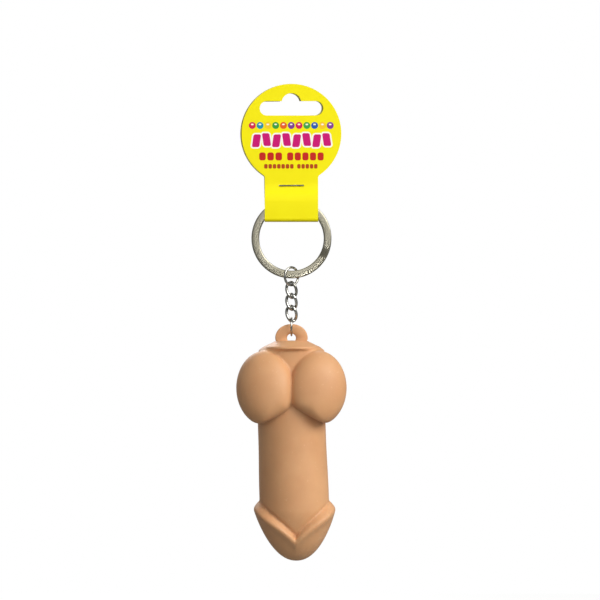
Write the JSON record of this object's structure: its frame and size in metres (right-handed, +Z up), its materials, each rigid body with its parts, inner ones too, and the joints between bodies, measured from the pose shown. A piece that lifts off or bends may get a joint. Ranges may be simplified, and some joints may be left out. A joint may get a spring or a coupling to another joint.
{
  "type": "novelty keychain",
  "caption": "Carded novelty keychain: a split ring and a short curb chain hang a soft, adult-novelty foam charm from a folded header card with a peg slot.",
  "frame": {"origin": "top of the hanging slot in the header card, where a display peg carries the keychain", "axes": "+Z up along the hanging keychain, +X to the right across the card, and the card's printed front faces -Y"},
  "size_m": [0.041, 0.0305, 0.1792],
  "materials": {
    "printed_card": "satin",
    "plated_steel": "gloss",
    "foam": "satin"
  },
  "bodies": {
    "card": {"header_card": "printed_card", "card_staple": "plated_steel"},
    "split_ring": {"split_ring": "plated_steel"},
    "jump_ring": {"jump_ring": "plated_steel"},
    "link_1": {"curb_link_1": "plated_steel"},
    "link_2": {"curb_link_2": "plated_steel"},
    "link_3": {"curb_link_3": "plated_steel"},
    "end_ring": {"end_ring": "plated_steel"},
    "charm": {"foam_charm": "foam"}
  },
  "joints": [
    {"name": "split_ring_tilt", "type": "hinge", "parent": "card", "child": "split_ring", "pos_m": [0, 0, -0.0435], "axis": [1, 0, 0], "range_deg": [-10, 10]},
    {"name": "jump_ring_slide", "type": "hinge", "parent": "split_ring", "child": "jump_ring", "pos_m": [0, 0, -0.05441], "axis": [0, 1, 0], "range_deg": [-90, 90]},
    {"name": "link_1_swing", "type": "hinge", "parent": "jump_ring", "child": "link_1", "pos_m": [0, 0, -0.07196], "axis": [-0.7431, -0.6691, 0], "range_deg": [-35, 35]},
    {"name": "link_2_swing", "type": "hinge", "parent": "link_1", "child": "link_2", "pos_m": [0, 0, -0.0753], "axis": [0.656, -0.7286, -0.1968], "range_deg": [-35, 35]},
    {"name": "link_3_swing", "type": "hinge", "parent": "link_2", "child": "link_3", "pos_m": [0, 0, -0.08102], "axis": [-0.656, -0.7286, 0.1968], "range_deg": [-35, 35]},
    {"name": "end_ring_swing", "type": "hinge", "parent": "link_3", "child": "end_ring", "pos_m": [0, 0, -0.08546], "axis": [1, 0, 0], "range_deg": [-20, 15]},
    {"name": "charm_swing", "type": "hinge", "parent": "end_ring", "child": "charm", "pos_m": [0, 0, -0.09066], "axis": [0, -1, 0], "range_deg": [-28, 28]}
  ]
}
